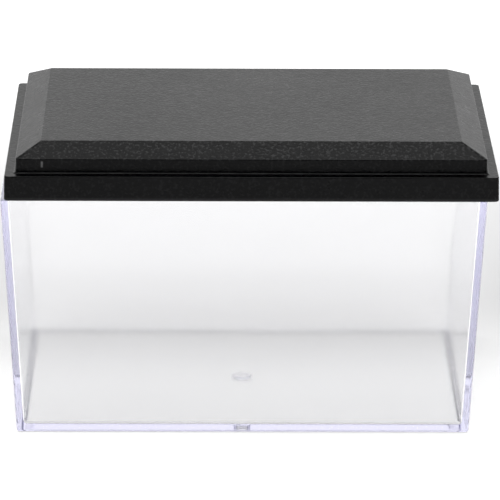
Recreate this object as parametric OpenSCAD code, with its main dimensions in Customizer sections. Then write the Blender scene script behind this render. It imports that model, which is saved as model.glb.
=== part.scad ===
// Chip box: a clear open-topped tub and a stepped black lid that lifts straight off.
// The origin is the middle of the tub's underside, +X runs along the box and +Z is up.

/* [Tub] */
// Length of the tub over its top edge, before the lid goes on
tub_length = 134; // [90:1:200]
// Width of the tub over its top edge
tub_width = 92; // [60:1:150]
// Height of the tub from its underside to its top edge
tub_height = 69.3; // [30:0.1:120]
// Thickness of the four walls, measured level
tub_wall = 1.9; // [1.2:0.1:3]
// Thickness of the floor
tub_floor = 1.85; // [1.2:0.05:3]
// Lean of each wall away from upright, so that the tub leaves its mould
tub_draft = 3; // [0.5:0.1:4]
// Radius of the upright outer corners
tub_corner_r = 0.8; // [0.5:0.1:6]
// Radius of the upright inner corners
tub_inner_r = 0.6; // [0.4:0.1:4]
// Radius of the outer edge round the underside
tub_foot_r = 0.8; // [0.3:0.1:1.2]
// Fillet between the floor and the walls on the inside
floor_fillet = 1.5; // [0.3:0.1:3]

/* [Gate mark] */
// Diameter of the round boss inside the tub, over the gate in the middle of the floor
boss_d = 5.5; // [3:0.5:8]
// Height of that boss above the floor
boss_h = 0.5; // [0.1:0.1:0.6]
// Diameter of the well sunk into the underside round the gate
well_d = 4.8; // [3:0.1:7]
// Depth of that well
well_depth = 0.8; // [0.4:0.1:1]
// Diameter of the broken-off gate stub that hangs inside the well
stub_d = 1.4; // [0.8:0.1:2.4]
// Height of the stub
stub_h = 0.5; // [0.1:0.1:0.7]
// How far the stub stands off the middle of the well, along -X
stub_shift = 1.1; // [0:0.1:1.4]

/* [Lid] */
// How far the lid's rim stands out past the tub's top edge on every side
lid_overhang = 1; // [0.4:0.1:1.5]
// Height of the rim band
rim_height = 7; // [5:0.5:14]
// Width of the flat ledge on top of the rim
ledge_width = 3; // [1:0.1:6]
// Height of the upright face above the ledge
tier_height = 4.1; // [2:0.1:8]
// Width of the sloping bevel, seen from above
bevel_width = 6.8; // [3:0.1:15]
// Height of the sloping bevel
bevel_height = 3.3; // [2:0.1:8]
// Thickness of the lid's shell
lid_wall = 2; // [1.6:0.1:2.6]
// Lean of the rim and of the upright face
lid_draft = 1; // [0.5:0.1:3]
// Radius of the upright corners of the rim and of the upright face
lid_corner_r = 1; // [0.5:0.1:1.5]

/* [Locating fins] */
// Thickness of each fin under the lid
fin_thickness = 1.6; // [1:0.1:3]
// How far the fins hang down inside the tub
fin_drop = 1.5; // [1:0.1:6]
// Width of the hanging end of each fin
fin_width = 2.6; // [2:0.1:6]
// Chamfer that leads each fin into the tub
fin_lead = 0.6; // [0.2:0.1:1.2]
// Number of fins along each long side
fins_long = 4; // [2:1:6]
// Number of fins along each short side
fins_short = 2; // [1:1:4]
// Gap between the fins and the tub's walls on every side when the lid is centred
fin_play = 2.3; // [0.5:0.1:3]
// How much of that gap the loose lid has slid along +X: 0 is centred, 1 touches the wall
slid_share = 0.9; // [0:0.05:0.95]

/* [Hidden] */

clear_plastic = [0.86, 0.87, 0.95, 0.35];
black_plastic = [0.09, 0.09, 0.095];

// Sides of a quarter circle at an upright corner, and steps of an edge radius
corner_steps = 6;
edge_steps = 4;
// Depth by which a fin or the stub runs into the wall that carries it
bite = 0.6;
// Smallest radius of an upright corner, where an edge radius runs round it
least_r = 0.3;

// How far the tub's outer wall stands in from its top edge, at height z
function lean(z) = (tub_height - z) * tan(tub_draft);
// One level outline of the tub at height z, moved in from the outer wall by inset
function tub_ring(z, inset, r) =
    [tub_length - 2 * (lean(z) + inset), tub_width - 2 * (lean(z) + inset), max(r, least_r), z];

// Height of the lid's shoulder, where the bevel starts, and of its flat top
shoulder_z = rim_height + tier_height;
lid_height = shoulder_z + bevel_height;
bevel_angle = atan(bevel_height / bevel_width);
// How far the outside of the lid stands in from the rim's lower edge, level by level
rim_top_in = rim_height * tan(lid_draft);
tier_foot_in = rim_top_in + ledge_width;
shoulder_in = tier_foot_in + tier_height * tan(lid_draft);
top_in = shoulder_in + bevel_width;
// One level outline of the lid at height z above its seat, moved in by inset
function lid_ring(z, inset, r) =
    [tub_length + 2 * (lid_overhang - inset), tub_width + 2 * (lid_overhang - inset), r, z];
// The lid slides by its play along +X and rests on the tub's top edge
lid_shift = slid_share * fin_play;
// Inward distances from the tub's top edge: the fin's locating face and its free end
fin_face = tub_wall + fin_drop * tan(tub_draft) + fin_play;
fin_end = fin_face + fin_width;

// Points of a rounded rectangle, anticlockwise, from ring = [length, width, radius, z]
function outline(ring) =
    [for (corner = [0 : 3], step = [0 : corner_steps])
        let (turn = 90 * (corner + step / corner_steps),
             side_x = (corner == 0 || corner == 3) ? 1 : -1,
             side_y = corner < 2 ? 1 : -1)
        [side_x * (ring[0] / 2 - ring[2]) + ring[2] * cos(turn),
         side_y * (ring[1] / 2 - ring[2]) + ring[2] * sin(turn),
         ring[3]]];

// Closed solid through a list of level outlines that share their number of points. A shell is
// one such list: it runs up the outside, over the edge and down the inside, or the reverse.
module loft(rings) {
    n = 4 * (corner_steps + 1);
    last = n * (len(rings) - 1);
    polyhedron(
        points = [for (ring = rings) each outline(ring)],
        faces = concat(
            [[for (i = [0 : n - 1]) i]],
            [for (level = [0 : len(rings) - 2], i = [0 : n - 1])
                let (a = level * n + i, b = level * n + (i + 1) % n)
                [a, a + n, b + n, b]],
            [[for (i = [n - 1 : -1 : 0]) last + i]]),
        convexity = 4);
}

// One step, counted from 0 to edge_steps, of a quarter round of radius r that starts level
// and ends upright, as [height, inset]
function quarter(r, step) =
    let (turn = 90 * step / edge_steps) [r * (1 - cos(turn)), r * (1 - sin(turn))];

// Up the outside from the underside, over the top edge, down the inside to the floor
module tub_shell() {
    foot = [for (step = [0 : edge_steps])
        let (q = quarter(tub_foot_r, step)) tub_ring(q[0], q[1], tub_corner_r - q[1])];
    lip = [tub_ring(tub_height, 0, tub_corner_r), tub_ring(tub_height, tub_wall, tub_inner_r)];
    inside = [for (step = [edge_steps : -1 : 0])
        let (q = quarter(floor_fillet, step))
        tub_ring(tub_floor + q[0], tub_wall + q[1], tub_inner_r - q[1])];
    loft(concat(foot, lip, inside));
}

// The floor rises into a boss over the gate, above a well that keeps the broken-off stub clear
// of the table
module tub() {
    color(clear_plastic) {
        difference() {
            union() {
                tub_shell();
                translate([0, 0, tub_floor / 2])
                cylinder(d = boss_d, h = tub_floor / 2 + boss_h, $fn = 48);
            }
            translate([0, 0, -1])
            cylinder(d = well_d, h = well_depth + 1, $fn = 48);
        }
        translate([-stub_shift, 0, well_depth - stub_h])
        cylinder(d = stub_d, h = stub_h + bite, $fn = 32);
    }
}

// Down the inside from the ceiling, round the rim's lower edge, up the outside to the flat top.
// The inside stays one wall thickness away from the outside.
module lid_shell() {
    inner_r = lid_corner_r / 2;
    ledge_under = rim_height - lid_wall;
    shoulder_drop = lid_wall * tan((90 - bevel_angle) / 2);
    ceiling_gain = lid_wall * tan(bevel_angle / 2);
    loft([
        lid_ring(lid_height - lid_wall, top_in + ceiling_gain, inner_r),
        lid_ring(shoulder_z - shoulder_drop, lid_wall + shoulder_in, inner_r),
        lid_ring(ledge_under, lid_wall + tier_foot_in, inner_r),
        lid_ring(ledge_under, lid_wall + rim_top_in, inner_r),
        lid_ring(0, lid_wall, inner_r),
        lid_ring(0, 0, lid_corner_r),
        lid_ring(rim_height, rim_top_in, lid_corner_r),
        lid_ring(rim_height, tier_foot_in, lid_corner_r),
        lid_ring(shoulder_z, shoulder_in, lid_corner_r),
        lid_ring(lid_height, top_in, lid_corner_r / 2)]);
}

module lid() {
    color(black_plastic)
    translate([lid_shift, 0, tub_height]) {
        lid_shell();
        long_fins();
        short_fins();
    }
}

// Fins under one pair of opposite sides: span is the length of those sides and reach is
// the distance between them. Each fin seats on the tub's top edge and hangs down inside it.
module fin_rows(span, reach, count) {
    for (side = [0, 180], i = [0 : count - 1])
        rotate(side)
        translate([(i + 0.5) * span / count - span / 2, -reach / 2, 0])
        rotate([90, 0, 90])
        linear_extrude(fin_thickness, center = true)
        fin_outline();
}

// Fin seen from its flat side, with x running inward from the tub's top edge. Its foot is the
// seat and the hanging end, and its back runs up into the rim, the ledge and the upright wall.
module fin_outline() {
    rim_back = lid_wall - lid_overhang - bite;
    tier_back = lid_wall + tier_foot_in - lid_overhang - bite;
    ledge_back = rim_height - lid_wall + bite;
    polygon([
        [rim_back, 0], [fin_face, 0],
        [fin_face, fin_lead - fin_drop], [fin_face + fin_lead, -fin_drop],
        [fin_end, -fin_drop], [fin_end, 0],
        [tier_back, shoulder_z - lid_wall], [tier_back, ledge_back], [rim_back, ledge_back]]);
}

module long_fins() {
    fin_rows(tub_length, tub_width, fins_long);
}

module short_fins() {
    rotate(90)
    fin_rows(tub_width, tub_length, fins_short);
}

tub();
lid();
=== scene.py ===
import math

import bpy
import numpy as np
from mathutils import Matrix, Vector


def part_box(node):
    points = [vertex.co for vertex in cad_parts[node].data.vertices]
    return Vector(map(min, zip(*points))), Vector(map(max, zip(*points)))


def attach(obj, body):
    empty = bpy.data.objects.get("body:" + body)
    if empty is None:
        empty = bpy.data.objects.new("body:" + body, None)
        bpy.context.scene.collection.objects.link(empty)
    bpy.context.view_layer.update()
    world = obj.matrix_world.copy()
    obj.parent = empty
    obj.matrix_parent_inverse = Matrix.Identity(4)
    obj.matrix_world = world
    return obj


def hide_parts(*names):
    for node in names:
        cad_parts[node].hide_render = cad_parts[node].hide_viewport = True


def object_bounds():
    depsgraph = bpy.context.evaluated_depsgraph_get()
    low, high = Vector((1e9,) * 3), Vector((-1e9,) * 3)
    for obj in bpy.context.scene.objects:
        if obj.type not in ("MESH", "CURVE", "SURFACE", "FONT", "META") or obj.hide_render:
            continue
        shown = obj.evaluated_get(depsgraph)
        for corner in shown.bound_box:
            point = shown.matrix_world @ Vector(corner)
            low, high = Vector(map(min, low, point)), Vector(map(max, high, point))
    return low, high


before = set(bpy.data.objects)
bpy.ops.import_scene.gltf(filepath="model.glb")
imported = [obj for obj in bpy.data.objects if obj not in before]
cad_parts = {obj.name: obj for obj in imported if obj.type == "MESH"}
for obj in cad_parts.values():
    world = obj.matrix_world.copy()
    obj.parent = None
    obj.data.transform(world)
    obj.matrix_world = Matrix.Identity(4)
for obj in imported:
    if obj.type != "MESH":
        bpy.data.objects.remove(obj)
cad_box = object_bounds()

MM = 0.001
scene = bpy.context.scene

# --- Camera ------------------------------------------------------------------------------
# The box is seen square on from in front, from a little above its lid, through a long lens
# that keeps its upright edges almost parallel.

AZIMUTH = math.radians(-0.593)
ELEVATION = math.radians(18.165)
ROLL = math.radians(0.33)
DISTANCE = 1.2009
LENS = 300.98
AIM_SHIFT = Vector((0.66, 0.0, -1.88)) * MM

box_centre = (cad_box[0] + cad_box[1]) / 2
aim = box_centre + AIM_SHIFT
ahead = Vector((-math.sin(AZIMUTH) * math.cos(ELEVATION),
                math.cos(AZIMUTH) * math.cos(ELEVATION),
                -math.sin(ELEVATION)))
level = Vector((math.cos(AZIMUTH), math.sin(AZIMUTH), 0.0))
above = level.cross(ahead)
side = level * math.cos(ROLL) + above * math.sin(ROLL)
up = above * math.cos(ROLL) - level * math.sin(ROLL)

lens = bpy.data.cameras.new("camera")
lens.lens = LENS
lens.sensor_width = 36.0
lens.clip_start, lens.clip_end = 0.05, 50.0
camera = bpy.data.objects.new("camera", lens)
camera.matrix_world = (Matrix.Translation(aim - ahead * DISTANCE)
                       @ Matrix((side, up, -ahead)).transposed().to_4x4())
scene.collection.objects.link(camera)
scene.camera = camera

# --- Studio ------------------------------------------------------------------------------
# A pale paper floor under a large overhead softbox, in a room that is bright behind the box and
# dim low in front of it. The paper glows a little by itself, with more painted light in front,
# and a painted soft shadow lies behind and beside the box.


class Wire:
    """A shader socket that is added, subtracted or scaled like a number, by Math nodes."""

    def __init__(self, finish, socket):
        self.finish, self.socket = finish, socket

    def math(self, operation, *values):
        return self.finish.node("ShaderNodeMath", {"operation": operation},
                                dict(enumerate(values)))

    def __add__(self, other):
        return self.math("ADD", self, other)

    def __radd__(self, other):
        return self.math("ADD", other, self)

    def __sub__(self, other):
        return self.math("SUBTRACT", self, other)

    def __mul__(self, other):
        return self.math("MULTIPLY", self, other)

    def __rmul__(self, other):
        return self.math("MULTIPLY", other, self)


class Finish:
    """A material, or the world, whose nodes are added one at a time and linked by Wires."""

    def __init__(self, owner):
        self.owner = owner
        owner.use_nodes = True
        self.tree = owner.node_tree
        self.tree.nodes.clear()

    def node(self, kind, settings=None, inputs=None, output=0):
        """Adds a node, applies its settings, then sets or links its sockets by name or number."""
        added = self.tree.nodes.new(kind)
        for name, value in (settings or {}).items():
            setattr(added, name, value)
        for key, value in (inputs or {}).items():
            if isinstance(value, Wire):
                self.tree.links.new(value.socket, added.inputs[key])
            else:
                added.inputs[key].default_value = value
        return Wire(self, added.outputs[output]) if added.outputs else None

    def ramp(self, value, low, high, start=0.0, end=1.0):
        """start below low, end above high, and a smooth step between them."""
        return self.node("ShaderNodeMapRange", {"interpolation_type": "SMOOTHSTEP"},
                         {"Value": value, "From Min": low, "From Max": high,
                          "To Min": start, "To Max": end})


# strengths of the light: everywhere, behind, more of it low behind, high in front, overhead
ROOM_EVEN = 0.25
ROOM_BEHIND = 0.4
ROOM_BAND = 0.6
ROOM_FILL = 0.6
ROOM_SOFTBOX = 4.0


def soft_room():
    """Light by direction, whose parts fade into each other by its Y and its height: an even
    level, plus a wall behind that is brightest near the horizon, plus a fill high in front, plus
    a softbox overhead."""
    world = Finish(bpy.data.worlds.new("soft_room"))
    towards = world.node("ShaderNodeTexCoord", output="Generated")
    xyz = world.node("ShaderNodeSeparateXYZ", inputs={0: towards}).socket.node
    behind, height = (Wire(world, socket) for socket in list(xyz.outputs)[1:])
    back = world.ramp(behind, -0.1, 0.5)
    band = world.ramp(height, 0.8, 0.42)
    overhead = world.ramp(height, 0.86, 0.96)
    fill = world.ramp(height, 0.35, 0.5) * world.ramp(behind, 0.0, -0.3)
    strength = (ROOM_EVEN + back * (ROOM_BEHIND + ROOM_BAND * band) + ROOM_FILL * fill
                + ROOM_SOFTBOX * overhead)
    light = world.node("ShaderNodeBackground", inputs={
        "Color": (1, 1, 1, 1), "Strength": strength})
    world.node("ShaderNodeOutputWorld", inputs={"Surface": light})
    return world.owner


scene.world = soft_room()

FLOOR_HALF = 3.0
FLOOR_GAP = 0.1 * MM
# the paper's glow: even everywhere, then painted light more in front, and a little more close in
# front of the box
GLOW_EVEN = 0.53
PAINTED_LIGHT_FRONT = 0.7
PAINTED_LIGHT_NEAR = 0.06
# painted shadow: glow taken away behind the box, and on both sides of it
PAINTED_SHADOW_BEHIND = 0.5
PAINTED_SHADOW_BESIDE = 0.16


def paper_floor():
    """A square sheet just under the box, from -FLOOR_HALF to FLOOR_HALF both ways. Its glow is
    an even level, plus two smooth steps of painted light up towards the front, less a painted
    shadow behind the box and one on each side, which are products of smooth steps in Y and in
    the distance from X = 0."""
    corners = np.array([(-1, -1), (1, -1), (1, 1), (-1, 1)], float) * FLOOR_HALF
    mesh = bpy.data.meshes.new("floor")
    mesh.from_pydata(np.c_[corners, np.full(4, -FLOOR_GAP)].tolist(), [], [(0, 1, 2, 3)])
    floor = bpy.data.objects.new("floor", mesh)
    scene.collection.objects.link(floor)
    paper = Finish(bpy.data.materials.new("paper"))
    place = paper.node("ShaderNodeTexCoord", output="Object")
    tooth = paper.node("ShaderNodeTexNoise", inputs={
        "Vector": place, "Scale": 900.0, "Detail": 3.0})
    bump = paper.node("ShaderNodeBump", inputs={
        "Height": tooth, "Strength": 0.05, "Distance": 0.2 * MM})
    xyz = paper.node("ShaderNodeSeparateXYZ", inputs={0: place}).socket.node
    along, back = Wire(paper, xyz.outputs[0]), Wire(paper, xyz.outputs[1])
    aside = along.math("ABSOLUTE", along)
    # painted light: the glow steps up in front of the box, and a little more close in front
    painted_glow = (GLOW_EVEN + PAINTED_LIGHT_FRONT * paper.ramp(back, -0.17, -0.3)
            + PAINTED_LIGHT_NEAR * paper.ramp(back, -0.03, -0.075))
    # painted shadow: darker patches behind the box and on each side of it
    behind = (PAINTED_SHADOW_BEHIND * paper.ramp(back, -0.01, 0.082) * paper.ramp(back, 0.36, 0.16)
              * paper.ramp(aside, 0.22, 0.08))
    painted_shadow_beside = (PAINTED_SHADOW_BESIDE * paper.ramp(back, -0.06, 0.01) * paper.ramp(back, 0.2, 0.06)
              * paper.ramp(aside, 0.055, 0.1) * paper.ramp(aside, 0.26, 0.12))
    sheet = paper.node("ShaderNodeBsdfPrincipled", inputs={
        "Base Color": (0.62, 0.62, 0.624, 1), "Roughness": 0.75, "Normal": bump,
        "Specular IOR Level": 0.2, "Emission Color": (1, 1, 1, 1),
        "Emission Strength": painted_glow - behind - painted_shadow_beside})
    paper.node("ShaderNodeOutputMaterial", inputs={"Surface": sheet})
    mesh.materials.append(paper.owner)
    return floor


paper_floor()

scene.view_settings.view_transform = "Standard"
scene.view_settings.use_curve_mapping = True
# a slight black level, so that the darkest lines of the lid read as black
scene.view_settings.curve_mapping.black_level = (0.006, 0.006, 0.006)
# light that runs inside the clear walls is reflected many times before it leaves them
scene.cycles.max_bounces = 48
scene.cycles.transmission_bounces = 40
scene.cycles.glossy_bounces = 40
scene.cycles.diffuse_bounces = 4

# --- Tub ---------------------------------------------------------------------------------
# One clear polystyrene moulding: a floor and four leaning walls of even thickness, with every
# edge slightly rounded. A round gate mark is left in the middle of the floor, and a faint
# lavender toner shows only where light runs a long way along a wall.

tub_low, tub_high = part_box("tub")
TUB_LENGTH, TUB_WIDTH, TUB_HEIGHT = tub_high - tub_low
TUB_LEAN = math.tan(math.radians(3.0))
TUB_WALL = 1.9 * MM
TUB_FLOOR = 1.85 * MM
TUB_CORNER = 0.8 * MM
TUB_INNER_CORNER = 0.6 * MM
TUB_FOOT_EDGE = 0.8 * MM
TUB_FLOOR_FILLET = 1.5 * MM
TUB_LIP_EDGE = 0.35 * MM
# level stretch of floor that each edge radius runs out on
FLOOR_RUN = 3.0 * MM
# gate mark: a boss on the inside, and a well with a broken-off stub underneath
BOSS_RADIUS, BOSS_HEIGHT = 2.75 * MM, 0.5 * MM
BOSS_DRAFT, BOSS_EDGE = 0.12 * MM, 0.15 * MM
WELL_RADIUS, WELL_DEPTH = 2.4 * MM, 0.8 * MM
WELL_DRAFT, WELL_EDGE = 0.06 * MM, 0.12 * MM
STUB_RADIUS, STUB_HEIGHT, STUB_EDGE = 0.7 * MM, 0.5 * MM, 0.1 * MM
STUB_SHIFT = -1.1 * MM
# level stretch of floor round the gate mark, and the small hole at its middle that is fanned shut
GATE_RUN = 1.5 * MM
GATE_CORE = 0.05 * MM


def rounded_path(corners, radii, steps=8):
    """A path in a plane through corners, with an arc of each radius tangent to both sides of its
    corner. Returns the points and the unit normals on the right of the way it runs. A radius of
    0 leaves an end of the path alone."""
    corners = np.asarray(corners, float)
    points, normals = [], []
    for i, radius in enumerate(radii):
        before = corners[i] - corners[max(i - 1, 0)]
        after = corners[min(i + 1, len(corners) - 1)] - corners[i]
        if i == 0:
            before = after
        if i == len(corners) - 1:
            after = before
        before, after = before / np.hypot(*before), after / np.hypot(*after)
        turn = math.atan2(before[0] * after[1] - before[1] * after[0], before @ after)
        share = np.linspace(0, 1, steps + 1 if radius else 1)[:, None]
        start = math.atan2(before[1], before[0])
        heading = start + turn * share[:, 0]
        normal = np.c_[np.sin(heading), -np.cos(heading)]
        centre = (corners[i] - before * radius * math.tan(abs(turn) / 2)
                  - np.sign(turn) * radius * normal[0])
        points.append(centre + np.sign(turn) * radius * normal if radius else corners[i:i + 1])
        normals.append(normal)
    return np.concatenate(points), np.concatenate(normals)


def box_outline(side_steps=20, corner_steps=10):
    """Once round a box, as weights for its straight half sizes and the outward direction, four
    columns: a point is weights * (half size - radius) + direction * radius."""
    turn = np.linspace(0, math.pi / 2, corner_steps + 1)
    along = np.linspace(0, 1, side_steps + 1)[1:-1]
    parts = []
    for quarter in range(4):
        angle = turn + quarter * math.pi / 2
        here = np.sign(np.array([math.cos((quarter + 0.5) * math.pi / 2),
                                 math.sin((quarter + 0.5) * math.pi / 2)]))
        there = np.array([-here[1], here[0]])
        arc = np.c_[np.tile(here, (len(turn), 1)), np.cos(angle), np.sin(angle)]
        side_line = np.c_[here + along[:, None] * (there - here),
                          np.tile(arc[-1, 2:], (len(along), 1))]
        parts += [arc, side_line]
    return np.concatenate(parts)


def carried_round(path, normals, radius, half, outline):
    """Rows of a surface: each point of the path, (outward, height), is carried round the box
    outline of half size half + outward, with that row's upright corner radius. Returns the
    points and normals as (rows, columns, 3)."""
    outward, height = path[:, 0, None], path[:, 1, None]
    radius = np.broadcast_to(np.asarray(radius, float).reshape(-1, 1), outward.shape)
    x = outline[:, 0] * (half[0] + outward - radius) + outline[:, 2] * radius
    y = outline[:, 1] * (half[1] + outward - radius) + outline[:, 3] * radius
    points = np.stack([x, y, np.broadcast_to(height, x.shape)], axis=-1)
    level = normals[:, :1]
    facing = np.stack([outline[:, 2] * level, outline[:, 3] * level,
                       np.broadcast_to(normals[:, 1:], x.shape)], axis=-1)
    return points, facing


def spun(path, normals, outline, shift=0.0):
    """Rows of a surface of revolution about an upright axis: each point of the path, (radius,
    height), on the rays from the axis through the outline's points. The axis of each row stands
    at its own shift along X."""
    ray = outline[:, :2] * (TUB_LENGTH / 2, TUB_WIDTH / 2)
    ray = ray / np.linalg.norm(ray, axis=1, keepdims=True)
    x = path[:, 0, None] * ray[:, 0] + np.reshape(shift, (-1, 1))
    y = path[:, 0, None] * ray[:, 1]
    points = np.stack([x, y, np.broadcast_to(path[:, 1, None], x.shape)], axis=-1)
    level = normals[:, :1]
    facing = np.stack([ray[:, 0] * level, ray[:, 1] * level,
                       np.broadcast_to(normals[:, 1:], x.shape)], axis=-1)
    return points, facing


def closed_skin(name, points, facing, centre):
    """A mesh of four-sided faces between neighbouring rows, closed at both ends by a fan to the
    middle of the first and of the last row, with the given normals."""
    rows, columns = points.shape[:2]
    grid = np.arange(rows * columns).reshape(rows, columns)
    ahead_of = np.roll(grid, -1, axis=1)
    quads = np.stack([grid[:-1], ahead_of[:-1], ahead_of[1:], grid[1:]], axis=-1).reshape(-1, 4)
    first, last = rows * columns, rows * columns + 1
    start_fan = np.stack([ahead_of[0], grid[0], np.full(columns, first)], axis=-1)
    end_fan = np.stack([grid[-1], ahead_of[-1], np.full(columns, last)], axis=-1)
    poles = np.stack([points[0].mean(axis=0), points[-1].mean(axis=0)])
    pole_normals = np.array([facing[0].mean(axis=0), facing[-1].mean(axis=0)])
    spots = np.concatenate([points.reshape(-1, 3), poles]) + np.asarray(centre)
    normals = np.concatenate([facing.reshape(-1, 3), pole_normals])
    normals /= np.linalg.norm(normals, axis=1, keepdims=True)
    mesh = bpy.data.meshes.new(name)
    mesh.from_pydata(spots.tolist(), [], quads.tolist() + start_fan.tolist() + end_fan.tolist())
    mesh.polygons.foreach_set("use_smooth", np.ones(len(mesh.polygons), bool))
    mesh.normals_split_custom_set_from_vertices(normals.tolist())
    made = bpy.data.objects.new(name, mesh)
    scene.collection.objects.link(made)
    return made


def tub_skin():
    """Out from the gate well in the middle of the underside, up the outside, over the lip, down
    the inside and back along the floor to the boss over the gate."""
    outline = box_outline()
    half = (TUB_LENGTH / 2, TUB_WIDTH / 2)

    def lean(height):
        return (TUB_HEIGHT - height) * TUB_LEAN

    outer, outer_n = rounded_path(
        [(-lean(0) - FLOOR_RUN, 0.0), (-lean(0), 0.0), (0.0, TUB_HEIGHT),
         (-TUB_WALL / 2, TUB_HEIGHT)],
        [0.0, TUB_FOOT_EDGE, TUB_LIP_EDGE, 0.0])
    outer_r = np.clip(TUB_CORNER + outer[:, 0] + lean(outer[:, 1]), 0.3 * MM, None)
    inner, inner_n = rounded_path(
        [(-TUB_WALL / 2, TUB_HEIGHT), (-TUB_WALL, TUB_HEIGHT),
         (-TUB_WALL - lean(TUB_FLOOR), TUB_FLOOR),
         (-TUB_WALL - lean(0) - FLOOR_RUN, TUB_FLOOR)],
        [0.0, TUB_LIP_EDGE, TUB_FLOOR_FILLET, 0.0])
    inner_r = np.clip(TUB_INNER_CORNER + TUB_WALL + inner[:, 0] + lean(inner[:, 1]),
                      0.2 * MM, None)
    inner_r[0] = outer_r[-1]
    boss, boss_n = rounded_path(
        [(BOSS_RADIUS + GATE_RUN, TUB_FLOOR), (BOSS_RADIUS, TUB_FLOOR),
         (BOSS_RADIUS - BOSS_DRAFT, TUB_FLOOR + BOSS_HEIGHT),
         (GATE_CORE, TUB_FLOOR + BOSS_HEIGHT)],
        [0.0, BOSS_EDGE, BOSS_EDGE, 0.0], steps=4)
    stub_foot = WELL_DEPTH - STUB_HEIGHT
    well, well_n = rounded_path(
        [(GATE_CORE, stub_foot), (STUB_RADIUS, stub_foot), (STUB_RADIUS, WELL_DEPTH),
         (WELL_RADIUS - WELL_DRAFT, WELL_DEPTH), (WELL_RADIUS, 0.0),
         (WELL_RADIUS + GATE_RUN, 0.0)],
        [0.0, STUB_EDGE, STUB_EDGE, WELL_EDGE, WELL_EDGE, 0.0], steps=4)
    # the stub stands off the well's middle, and the well's roof between them evens that out
    shift = STUB_SHIFT * np.clip((WELL_RADIUS - 0.3 * MM - well[:, 0])
                                 / (WELL_RADIUS - STUB_RADIUS - 0.5 * MM), 0, 1)
    parts = [spun(well, well_n, outline, shift),
             carried_round(outer, outer_n, outer_r, half, outline),
             carried_round(inner[1:], inner_n[1:], inner_r[1:], half, outline),
             spun(boss, boss_n, outline)]
    middle = ((tub_low.x + tub_high.x) / 2, (tub_low.y + tub_high.y) / 2, 0.0)
    return closed_skin("clear_tub", np.concatenate([part[0] for part in parts]),
                       np.concatenate([part[1] for part in parts]), middle)


# a little under pure polystyrene's 1.59
RESIN_INDEX = 1.555
# what is left of each colour, and how fast the rest goes, per metre
TONER_COLOUR = (0.48, 0.46, 0.78, 1)
TONER_DENSITY = 7.5


def clear_polystyrene():
    """Polished clear plastic: a faint haze of fine scuffs, stronger on the walls than on the
    floor, slow flow waves left by moulding, and a lavender absorption that needs centimetres
    of path to show."""
    clear = Finish(bpy.data.materials.new("clear_polystyrene"))
    place = clear.node("ShaderNodeTexCoord", output="Object")
    waves = clear.node("ShaderNodeTexNoise", inputs={
        "Vector": place, "Scale": 26.0, "Detail": 1.0})
    scuffs = clear.node("ShaderNodeTexNoise", inputs={
        "Vector": place, "Scale": 900.0, "Detail": 5.0, "Roughness": 0.7})
    worn = clear.ramp(scuffs, 0.56, 0.74)
    height = clear.node("ShaderNodeSeparateXYZ", inputs={0: place}, output=2)
    haze = clear.ramp(height, TUB_FLOOR + 0.2 * MM, TUB_FLOOR + 4 * MM, 0.02, 0.09)
    bump = clear.node("ShaderNodeBump", inputs={
        "Height": waves, "Strength": 0.06, "Distance": 0.4 * MM})
    glass = clear.node("ShaderNodeBsdfPrincipled", inputs={
        "Base Color": (1.0, 1.0, 1.0, 1), "Roughness": haze + 0.03 * worn,
        "IOR": RESIN_INDEX, "Transmission Weight": 1.0, "Normal": bump})
    depth = clear.node("ShaderNodeVolumeAbsorption", inputs={
        "Color": TONER_COLOUR, "Density": TONER_DENSITY})
    clear.node("ShaderNodeOutputMaterial", inputs={"Surface": glass, "Volume": depth})
    return clear.owner


tub = tub_skin()
tub.data.materials.append(clear_polystyrene())
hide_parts("tub")
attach(tub, "tub")

# --- Lid ---------------------------------------------------------------------------------
# One black moulding with a fine spark-eroded grain: a rim band, a flat ledge, a short upright
# face, a bevel and a flat top, hollow underneath with walls of even thickness. It lies loose on
# the tub's top edge, a little off centre along X.

lid_low, lid_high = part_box("lid")
LID_HALF = ((lid_high.x - lid_low.x) / 2, (lid_high.y - lid_low.y) / 2)
LID_LEAN = math.tan(math.radians(1.0))
RIM_HEIGHT = 7.0 * MM
LEDGE = 3.0 * MM
TIER_HEIGHT = 4.1 * MM
BEVEL_WIDTH = 6.8 * MM
BEVEL_HEIGHT = 3.3 * MM
LID_WALL = 2.0 * MM
LID_CORNER = 1.0 * MM
# level stretch of ceiling and of flat top that each edge radius runs out on
TOP_RUN = 6.0 * MM


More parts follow.
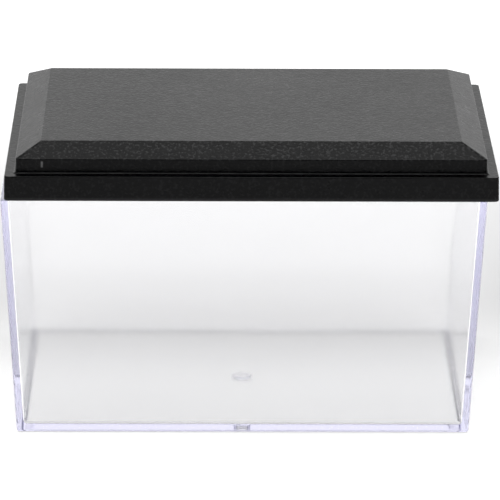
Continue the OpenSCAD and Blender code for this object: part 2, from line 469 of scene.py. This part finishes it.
def lid_skin():
    """From the middle of the ceiling down the inside, round the rim's lower edge and up the
    outside to the middle of the flat top. Heights are counted from the lid's seat."""
    rim_top = -RIM_HEIGHT * LID_LEAN
    tier_foot = rim_top - LEDGE
    shoulder = tier_foot - TIER_HEIGHT * LID_LEAN
    top = shoulder - BEVEL_WIDTH
    shoulder_z = RIM_HEIGHT + TIER_HEIGHT
    top_z = shoulder_z + BEVEL_HEIGHT
    slope = math.atan2(BEVEL_HEIGHT, BEVEL_WIDTH)
    inside, inside_n = rounded_path(
        [(top - TOP_RUN, top_z - LID_WALL),
         (top - LID_WALL * math.tan(slope / 2), top_z - LID_WALL),
         (shoulder - LID_WALL, shoulder_z - LID_WALL * math.tan((math.pi / 2 - slope) / 2)),
         (tier_foot - LID_WALL, RIM_HEIGHT - LID_WALL),
         (rim_top - LID_WALL, RIM_HEIGHT - LID_WALL),
         (-LID_WALL, 0.0), (-LID_WALL / 2, 0.0)],
        [0.0, 0.5 * MM, 0.5 * MM, 0.4 * MM, 0.5 * MM, 0.3 * MM, 0.0])
    outside, outside_n = rounded_path(
        [(-LID_WALL / 2, 0.0), (0.0, 0.0), (rim_top, RIM_HEIGHT), (tier_foot, RIM_HEIGHT),
         (shoulder, shoulder_z), (top, top_z), (top - TOP_RUN, top_z)],
        [0.0, 0.5 * MM, 0.3 * MM, 0.8 * MM, 0.3 * MM, 0.5 * MM, 0.0])
    path = np.concatenate([inside, outside[1:]])
    normals = np.concatenate([inside_n, outside_n[1:]])
    # the upright corners keep their radius on the rim and the tier and tighten up the bevel
    inner_r = np.full(len(inside), LID_CORNER / 2)
    outer_r = np.interp(outside[:, 1], [0, shoulder_z, top_z],
                        [LID_CORNER, LID_CORNER, LID_CORNER / 2])
    points, facing = carried_round(path, normals, np.concatenate([inner_r, outer_r[1:]]),
                                   LID_HALF, box_outline())
    middle = ((lid_low.x + lid_high.x) / 2, (lid_low.y + lid_high.y) / 2, tub_high.z)
    return closed_skin("black_lid", points, facing, middle)


# a pale nick on the front of the upright face: its place along X, its foot and top over the
# seat, half its width, and how far its ends fade
NICK_X = -55.5 * MM
NICK_FOOT, NICK_TOP = TUB_HEIGHT + 8.9 * MM, TUB_HEIGHT + 10.3 * MM
NICK_HALF = 0.5 * MM
NICK_FADE = 0.3 * MM
BLACK_PIT = (0.0003, 0.0003, 0.0004, 1)
# crest colour: partly dust, partly painted glints of the grain
CREST_DUST_AND_GLINT = (0.022, 0.022, 0.0225, 1)
NICK_GREY = (0.09, 0.09, 0.092, 1)
# how pale the smooth rim and upright face are between the pits' colour, 0, and the crests', 1
SMOOTH_TONE = 0.18


def black_plastic():
    """Through-coloured black plastic with the grain of a spark-eroded mould: dents just under a
    millimetre apart, with paler crests, partly dust and partly painted glints of the grain. The
    crests show least on the rim and the upright face, the rim is paler along its lower edge,
    and the upright face has one pale nick."""
    black = Finish(bpy.data.materials.new("black_plastic"))
    place = black.node("ShaderNodeTexCoord", output="Object")
    pits = black.node("ShaderNodeTexNoise", inputs={
        "Vector": place, "Scale": 1250.0, "Detail": 2.0, "Roughness": 0.55})
    patches = black.node("ShaderNodeTexNoise", inputs={
        "Vector": place, "Scale": 450.0, "Detail": 2.0})
    cloud = black.node("ShaderNodeTexNoise", inputs={
        "Vector": place, "Scale": 22.0, "Detail": 4.0})
    # paler crests: partly dust, partly painted glints of the grain
    crest_dust_and_glint = black.ramp(pits, 0.5, 0.68)
    bump = black.node("ShaderNodeBump", inputs={
        "Height": pits + 0.3 * patches, "Strength": 1.0, "Distance": 0.1 * MM})
    xyz = black.node("ShaderNodeSeparateXYZ", inputs={0: place}).socket.node
    along, deep, high = (Wire(black, socket) for socket in xyz.outputs)
    shoulder = TUB_HEIGHT + RIM_HEIGHT + TIER_HEIGHT
    grain = black.ramp(high, shoulder - 0.5 * MM, shoulder + 0.5 * MM, 0.2, 1.0)
    # the rim is paler along its lower edge, from 0.3 to 1.3 mm over the seat
    pale_lower_edge = black.ramp(high, TUB_HEIGHT + 1.3 * MM, TUB_HEIGHT + 0.3 * MM)
    nick = (black.ramp(along, NICK_X - NICK_HALF, NICK_X)
            * black.ramp(along, NICK_X + NICK_HALF, NICK_X)
            * black.ramp(high, NICK_FOOT - NICK_FADE, NICK_FOOT)
            * black.ramp(high, NICK_TOP + NICK_FADE, NICK_TOP)
            * black.ramp(deep, 0.0, -10 * MM))
    paleness = SMOOTH_TONE + (crest_dust_and_glint - SMOOTH_TONE) * grain + 0.5 * pale_lower_edge
    tone = black.node("ShaderNodeMix", {"data_type": "RGBA"}, {
        "Factor": paleness, "A": BLACK_PIT, "B": CREST_DUST_AND_GLINT}, output="Result")
    marked = black.node("ShaderNodeMix", {"data_type": "RGBA"}, {
        "Factor": nick, "A": tone, "B": NICK_GREY}, output="Result")
    plastic = black.node("ShaderNodeBsdfPrincipled", inputs={
        "Base Color": marked, "Roughness": 0.2 + 0.1 * cloud + 0.1 * patches, "IOR": 1.19,
        "Normal": bump})
    black.node("ShaderNodeOutputMaterial", inputs={"Surface": plastic})
    return black.owner


lid = lid_skin()
lid.data.materials.append(black_plastic())

# --- Fins ---------------------------------------------------------------------------------
# Locating fins under the lid, moulded in one with it: four along each long side and two along
# each short side. They stand on edge, and their free ends hang just inside the tub's walls.

FIN_THICKNESS = 1.6 * MM
FIN_DROP = 1.5 * MM
FIN_WIDTH = 2.6 * MM
FIN_LEAD = 0.6 * MM
FIN_PLAY = 2.3 * MM
FIN_EDGE = 0.15 * MM
# how far a fin runs into the wall that carries it
FIN_BITE = 0.6 * MM
# number of fins along a side, the side's length, the distance between sides, quarter turns
FINS = ((4, TUB_LENGTH, TUB_WIDTH, 0), (4, TUB_LENGTH, TUB_WIDTH, 2),
        (2, TUB_WIDTH, TUB_LENGTH, 1), (2, TUB_WIDTH, TUB_LENGTH, 3))


def fin_side():
    """The flat side of a fin, with x inward from the tub's top edge and y up from the seat."""
    face = TUB_WALL + FIN_DROP * TUB_LEAN + FIN_PLAY
    end = face + FIN_WIDTH
    overhang = LID_HALF[1] - TUB_WIDTH / 2
    rim_back = LID_WALL - overhang - FIN_BITE
    tier_back = rim_back + RIM_HEIGHT * LID_LEAN + LEDGE
    top = RIM_HEIGHT - LID_WALL + FIN_BITE
    return np.array([(rim_back, 0.0), (face, 0.0), (face, FIN_LEAD - FIN_DROP),
                     (face + FIN_LEAD, -FIN_DROP), (end, -FIN_DROP), (end, 0.0),
                     (tier_back, RIM_HEIGHT + TIER_HEIGHT - LID_WALL), (tier_back, top),
                     (rim_back, top)])


def fin_mesh():
    """Every fin as a slab with chamfered edges: its side drawn in by FIN_EDGE, then whole, then
    whole again and drawn in, across the thickness."""
    side_points = fin_side()
    ahead_edge = np.roll(side_points, -1, axis=0) - side_points
    ahead_edge /= np.linalg.norm(ahead_edge, axis=1, keepdims=True)
    out = np.c_[ahead_edge[:, 1], -ahead_edge[:, 0]]
    before = np.roll(out, 1, axis=0)
    drawn = side_points - FIN_EDGE * (out + before) / (1 + (out * before).sum(1))[:, None]
    across = FIN_THICKNESS / 2
    layers = ((-across, drawn), (FIN_EDGE - across, side_points),
              (across - FIN_EDGE, side_points), (across, drawn))
    n = len(side_points)
    fin = np.concatenate([np.c_[np.full(n, level), loop] for level, loop in layers])
    ring = np.arange(n)
    around = [np.stack([k * n + ring, k * n + np.roll(ring, -1), (k + 1) * n + np.roll(ring, -1),
                        (k + 1) * n + ring], axis=1) for k in range(len(layers) - 1)]
    faces = [face for part in around for face in part.tolist()]
    faces += [ring[::-1].tolist(), (3 * n + ring).tolist()]
    spots, cells = [], []
    for count, span, reach, quarter in FINS:
        turn = Matrix.Rotation(quarter * math.pi / 2, 3, "Z")
        for place in (np.arange(count) + 0.5) * span / count - span / 2:
            here = np.c_[fin[:, 0] + place, fin[:, 1] - reach / 2, fin[:, 2]]
            cells += [[i + len(spots) * len(fin) for i in face] for face in faces]
            spots.append(here @ np.array(turn).T)
    mesh = bpy.data.meshes.new("lid_fins")
    seat = ((lid_low.x + lid_high.x) / 2, (lid_low.y + lid_high.y) / 2, tub_high.z)
    mesh.from_pydata((np.concatenate(spots) + seat).tolist(), [], cells)
    made = bpy.data.objects.new("lid_fins", mesh)
    scene.collection.objects.link(made)
    return made


fins = fin_mesh()
fins.data.materials.append(lid.data.materials[0])
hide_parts("lid")
for piece in (lid, fins):
    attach(piece, "lid")
